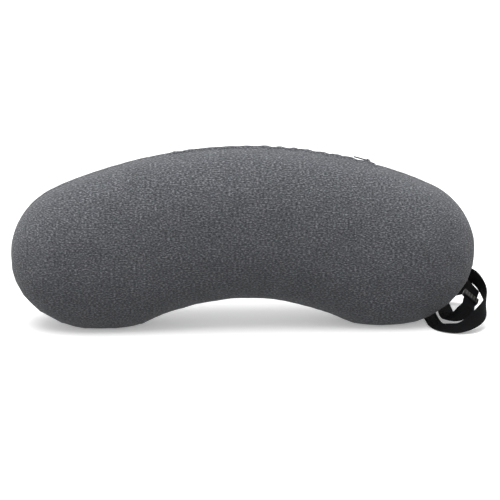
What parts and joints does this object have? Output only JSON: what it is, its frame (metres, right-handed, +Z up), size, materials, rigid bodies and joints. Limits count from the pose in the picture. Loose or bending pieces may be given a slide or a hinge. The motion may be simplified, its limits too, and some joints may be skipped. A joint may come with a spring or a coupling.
{
  "type": "nursing pillow",
  "caption": "Crescent nursing pillow with a zipped heather-grey cover over a foam core, standing on its lobes, and a waist belt with a side-release buckle.",
  "frame": {"origin": "centre of the pillow's box, without the belt, on the surface that its two lobes rest on", "axes": "+X along the pillow to the end with the long belt half, +Y through its thickness to the back with the belt, +Z up to the crown with the zip"},
  "size_m": [0.6602, 0.1918, 0.2484],
  "materials": {
    "jersey": "dark heather-grey melange jersey",
    "liner": "plain white woven lining",
    "foam": "open-cell cushion foam",
    "zip_tape": "woven polyester zip tape",
    "zip_coil": "nylon coil",
    "zip_metal": "dark painted die-casting",
    "webbing": "black polypropylene webbing",
    "buckle_plastic": "satin black acetal"
  },
  "bodies": {
    "pillow": {"cover_front": "jersey", "cover_back": "jersey", "liner_front": "liner", "liner_back": "liner", "foam_core": "foam", "zipper_tape_front": "zip_tape", "zipper_tape_back": "zip_tape", "zipper_coil_front": "zip_coil", "zipper_coil_back": "zip_coil", "zipper_top_stop": "zip_metal", "zipper_bottom_stop": "zip_metal", "belt_patch_right": "webbing", "belt_patch_left": "webbing", "belt_webbing_right": "webbing", "belt_webbing_left": "webbing"},
    "slider": {"zipper_slider": "zip_metal"},
    "pull": {"zipper_pull": "zip_metal"},
    "keeper": {"belt_keeper": "buckle_plastic"},
    "plug": {"buckle_plug": "buckle_plastic"},
    "arm_left": {"buckle_arm_left": "buckle_plastic"},
    "arm_right": {"buckle_arm_right": "buckle_plastic"},
    "socket": {"buckle_socket": "buckle_plastic"}
  },
  "joints": [
    {"name": "zip_run", "type": "hinge", "parent": "pillow", "child": "slider", "pos_m": [0, 0, -0.38233], "axis": [0, 1, 0], "range_deg": [-23.57, 0]},
    {"name": "pull_swing", "type": "hinge", "parent": "slider", "child": "pull", "pos_m": [0.17082, 0, 0.22732], "axis": [0, 1, 0], "range_deg": [0, 178]},
    {"name": "keeper_slide", "type": "slide", "parent": "pillow", "child": "keeper", "axis": [-0.3052, -0.9156, -0.2616], "range_m": [-0.01, 0.01]},
    {"name": "plug_swivel", "type": "hinge", "parent": "pillow", "child": "plug", "pos_m": [0.207, 0.1, 0.0042], "axis": [0, 1, 0], "range_deg": [-35, 100]},
    {"name": "arm_left_squeeze", "type": "hinge", "parent": "plug", "child": "arm_left", "pos_m": [0.1932, 0.0908, 0.0042], "axis": [0, 0, -1], "range_deg": [0, 8], "stiffness_Nm_per_rad": 0.05},
    {"name": "arm_right_squeeze", "type": "hinge", "parent": "plug", "child": "arm_right", "pos_m": [0.1932, 0.1092, 0.0042], "axis": [0, 0, -1], "range_deg": [-8, 0], "stiffness_Nm_per_rad": 0.05},
    {"name": "socket_swivel", "type": "hinge", "parent": "pillow", "child": "socket", "pos_m": [-0.26266, 0.07542, 0.05775], "axis": [1, 0, 0], "range_deg": [-15, 100]}
  ],
  "couplings": [
    {"joint": "arm_right_squeeze", "follows": "arm_left_squeeze", "ratio": -1}
  ]
}
